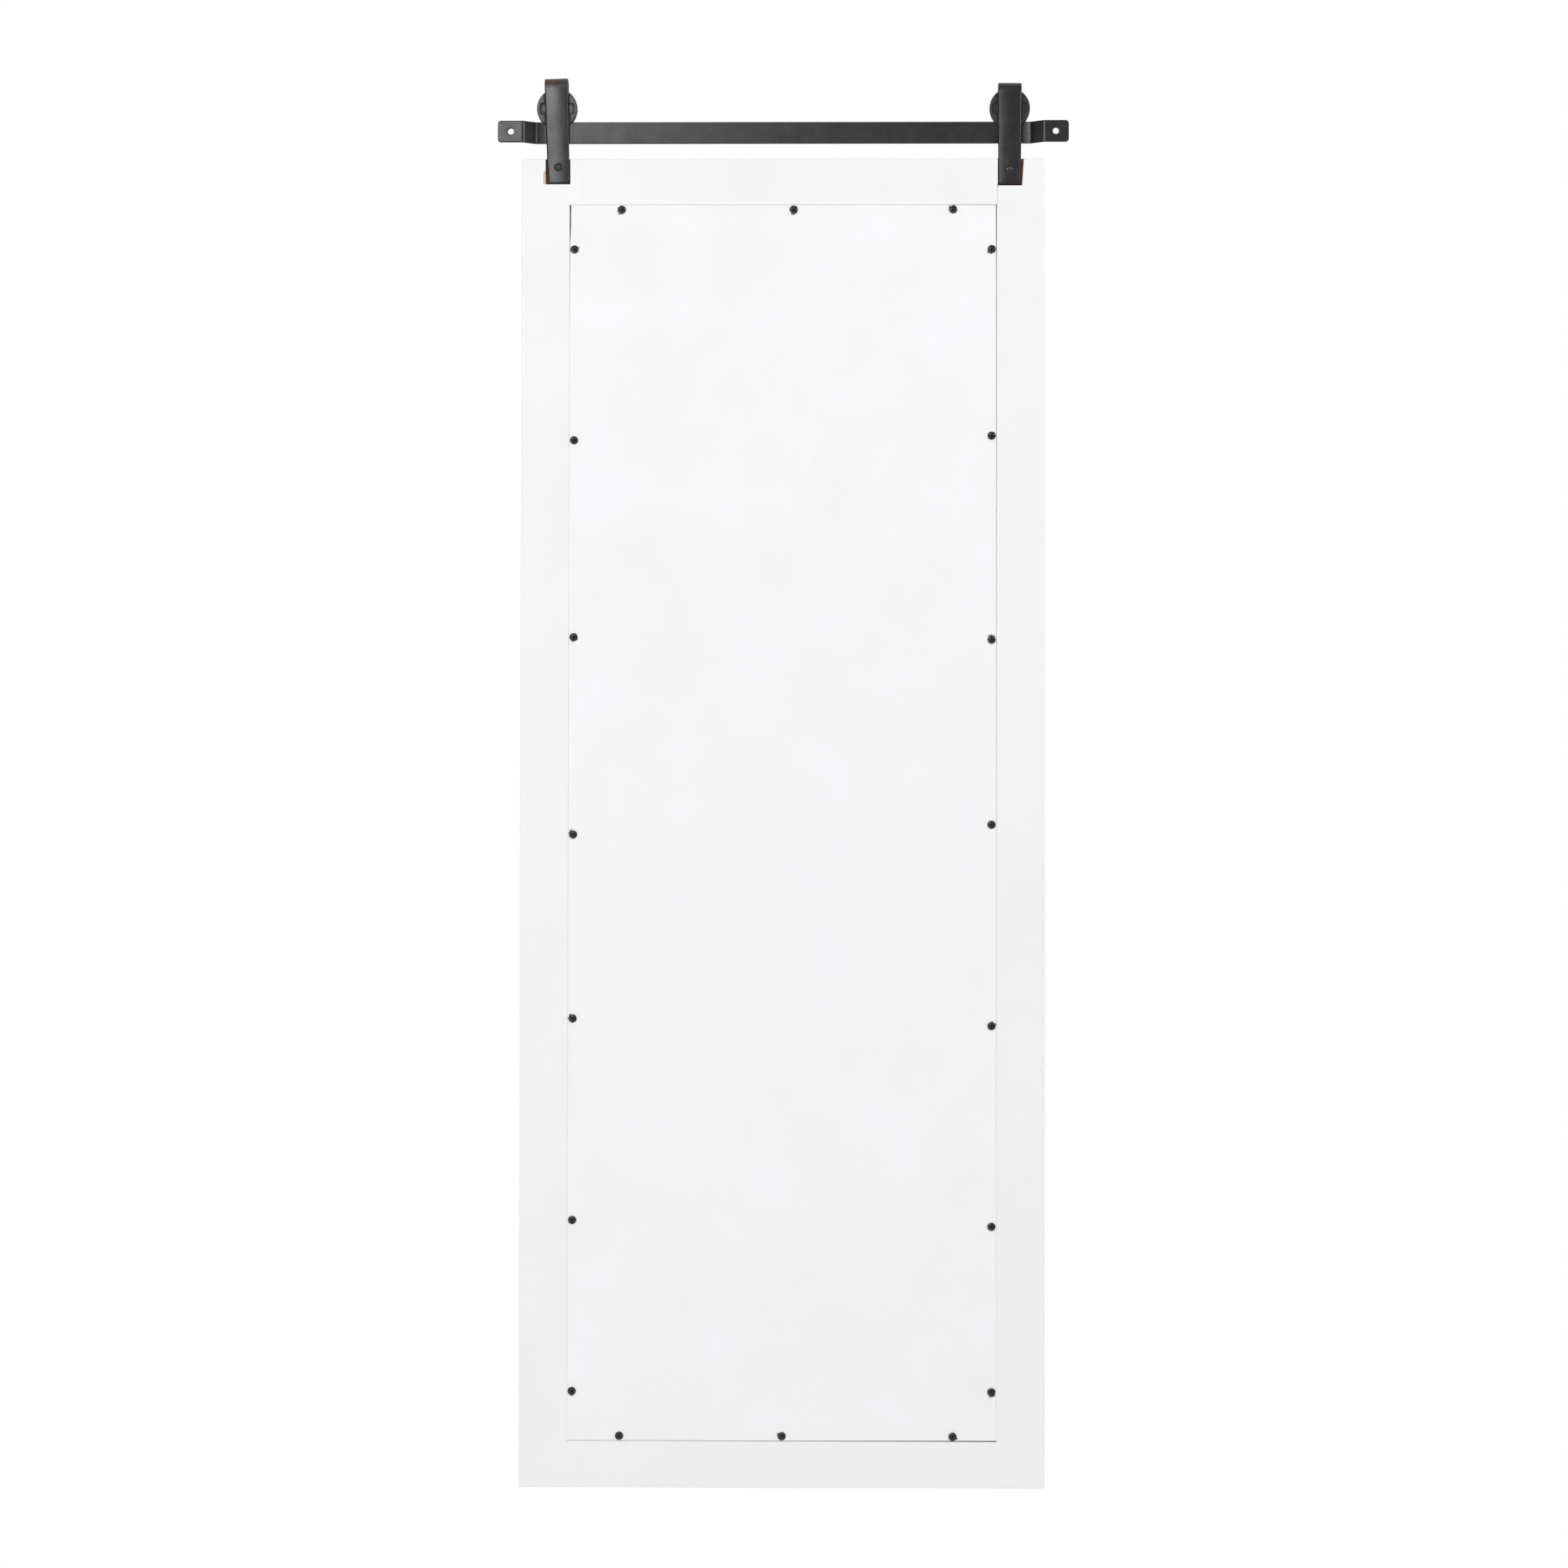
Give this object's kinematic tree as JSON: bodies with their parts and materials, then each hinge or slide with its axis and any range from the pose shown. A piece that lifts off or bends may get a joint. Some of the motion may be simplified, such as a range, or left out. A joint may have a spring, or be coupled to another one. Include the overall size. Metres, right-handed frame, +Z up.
{
  "type": "wall mirror",
  "caption": "Tall rectangular mirror in a flat white frame, hung on grooved wheels that roll along a short flat-bar wall track.",
  "frame": {"origin": "on the wall, midway between the two wall-screw holes of the track", "axes": "+X along the wall to the right as seen from the wall side, +Y out from the wall into the room, +Z up"},
  "size_m": [0.655, 0.0262, 1.614],
  "materials": {
    "track_steel": "satin black paint",
    "hanger_steel": "satin black paint, a little scuffed",
    "cast_iron": "black paint on a cast surface",
    "black_screw": "black phosphate, semi-gloss",
    "washer_steel": "bright zinc",
    "painted_wood": "white paint, satin",
    "raw_wood": "unfinished",
    "white_board": "white faced fibreboard, matt",
    "mirror_glass": "silvered float glass, polished",
    "setting_block": "black rubber",
    "foam": "closed-cell foam"
  },
  "bodies": {
    "track": {"track_bar": "track_steel"},
    "mirror": {"left_hanger_strap": "hanger_steel", "right_hanger_strap": "hanger_steel", "axle_bolts": "black_screw", "wheel_washers": "washer_steel", "hanger_screws": "black_screw", "left_stile": "painted_wood", "right_stile": "painted_wood", "top_rail": "painted_wood", "bottom_rail": "painted_wood", "corner_tenons": "raw_wood", "mirror_glass": "mirror_glass", "setting_blocks": "setting_block", "foam_tape": "foam", "backing_board": "white_board", "board_screws_left": "black_screw", "board_screws_right": "black_screw", "board_screws_top": "black_screw", "board_screws_bottom": "black_screw"},
    "left_wheel": {"left_wheel": "cast_iron"},
    "right_wheel": {"right_wheel": "cast_iron"}
  },
  "joints": [
    {"name": "mirror_slide", "type": "slide", "parent": "track", "child": "mirror", "axis": [1, 0, 0], "range_m": [-0.006, 0.006]},
    {"name": "left_wheel_spin", "type": "hinge", "parent": "mirror", "child": "left_wheel", "pos_m": [-0.26, 0.0137, 0.0277], "axis": [0, 1, 0], "range_deg": [-22.92, 22.92]},
    {"name": "right_wheel_spin", "type": "hinge", "parent": "mirror", "child": "right_wheel", "pos_m": [0.26, 0.0137, 0.0277], "axis": [0, 1, 0], "range_deg": [-22.92, 22.92]}
  ],
  "couplings": [
    {"joint": "left_wheel_spin", "follows": "mirror_slide", "rad_per_m": 66.667},
    {"joint": "right_wheel_spin", "follows": "mirror_slide", "rad_per_m": 66.667}
  ]
}
